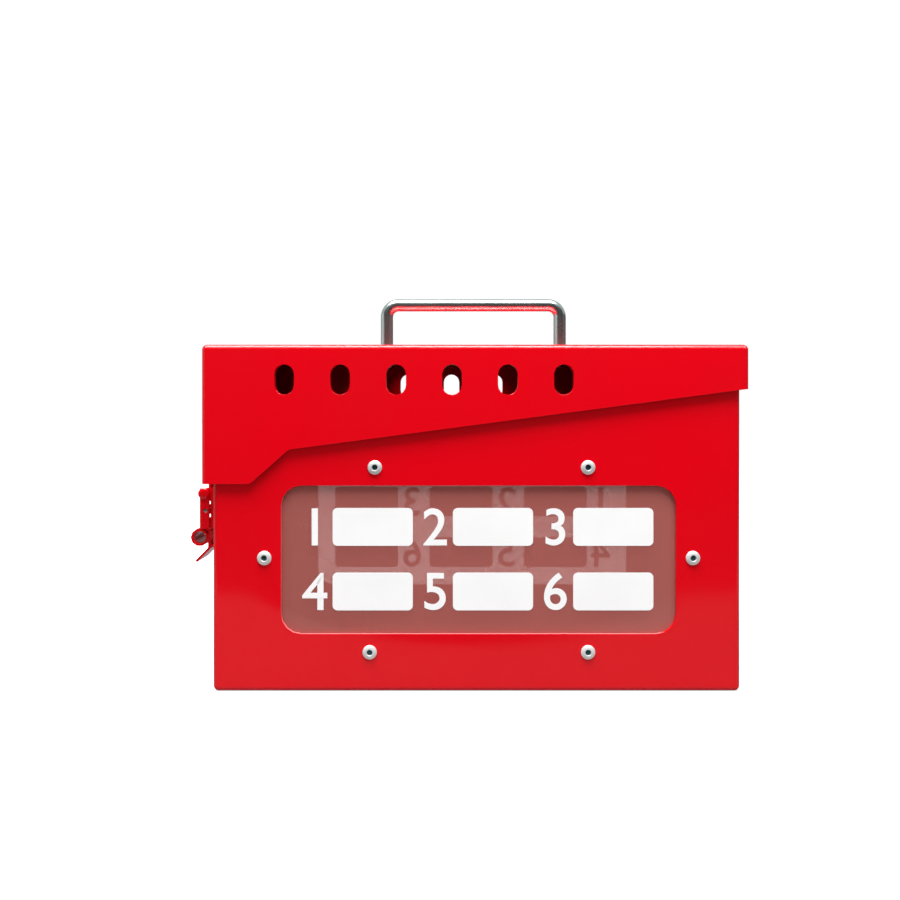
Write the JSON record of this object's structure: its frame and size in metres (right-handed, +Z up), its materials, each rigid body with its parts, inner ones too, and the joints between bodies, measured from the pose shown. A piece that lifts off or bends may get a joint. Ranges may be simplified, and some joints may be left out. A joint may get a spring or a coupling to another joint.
{
  "type": "group lockout box",
  "caption": "Red steel lockout box with a hinged lid, windows in both long sides, padlock slots through lid and box, a toggle latch and a wire carrying handle.",
  "frame": {"origin": "on the underside of the box, in the middle of its length and depth", "axes": "+X from the latch end to the hinge end, +Y from front to back, +Z up"},
  "size_m": [0.2643, 0.095, 0.1826],
  "materials": {
    "red_powder_coat": "gloss red powder coat with a fine orange peel",
    "frosted_window": "milky clear plastic sheet with a white print",
    "bright_wire": "bright zinc plated steel",
    "rivet_metal": "satin aluminium"
  },
  "bodies": {
    "box": {"body_shell": "red_powder_coat", "window_front": "frosted_window", "window_back": "frosted_window", "window_rivet_front_1": "rivet_metal", "window_rivet_front_2": "rivet_metal", "window_rivet_front_3": "rivet_metal", "window_rivet_front_4": "rivet_metal", "window_rivet_front_5": "rivet_metal", "window_rivet_front_6": "rivet_metal", "window_rivet_back_1": "rivet_metal", "window_rivet_back_2": "rivet_metal", "window_rivet_back_3": "rivet_metal", "window_rivet_back_4": "rivet_metal", "window_rivet_back_5": "rivet_metal", "window_rivet_back_6": "rivet_metal", "hinge_leaf_body": "red_powder_coat", "hinge_pin": "bright_wire", "hinge_rivet_body_1": "red_powder_coat", "hinge_rivet_body_2": "red_powder_coat", "hinge_rivet_body_3": "red_powder_coat", "latch_base": "red_powder_coat", "latch_base_rivet_1": "red_powder_coat", "latch_base_rivet_2": "red_powder_coat", "latch_base_rivet_3": "red_powder_coat", "latch_base_rivet_4": "red_powder_coat", "lever_pivot_front": "red_powder_coat", "lever_pivot_back": "red_powder_coat"},
    "lid": {"lid_shell": "red_powder_coat", "handle": "bright_wire", "handle_washer_1": "bright_wire", "handle_washer_2": "bright_wire", "handle_nut_1": "bright_wire", "handle_nut_2": "bright_wire", "hinge_leaf_lid": "red_powder_coat", "hinge_rivet_lid_1": "red_powder_coat", "hinge_rivet_lid_2": "red_powder_coat", "hinge_rivet_lid_3": "red_powder_coat", "latch_catch": "red_powder_coat", "latch_catch_rivet_1": "red_powder_coat", "latch_catch_rivet_2": "red_powder_coat"},
    "lever": {"latch_lever": "red_powder_coat", "latch_claw_pin": "bright_wire"},
    "claw": {"latch_claw": "red_powder_coat"}
  },
  "joints": [
    {"name": "lid_hinge", "type": "hinge", "parent": "box", "child": "lid", "pos_m": [0.1206, 0, 0.1328], "axis": [0, 1, 0], "range_deg": [0, 165]},
    {"name": "latch_lever_swing", "type": "hinge", "parent": "box", "child": "lever", "pos_m": [-0.1339, 0, 0.0846], "axis": [0, 1, 0], "range_deg": [0, 95]},
    {"name": "latch_claw_swing", "type": "hinge", "parent": "lever", "child": "claw", "pos_m": [-0.1331, 0, 0.0761], "axis": [0, 1, 0], "range_deg": [-76, 0]}
  ],
  "couplings": [
    {"joint": "latch_claw_swing", "follows": "latch_lever_swing", "ratio": -0.79}
  ]
}
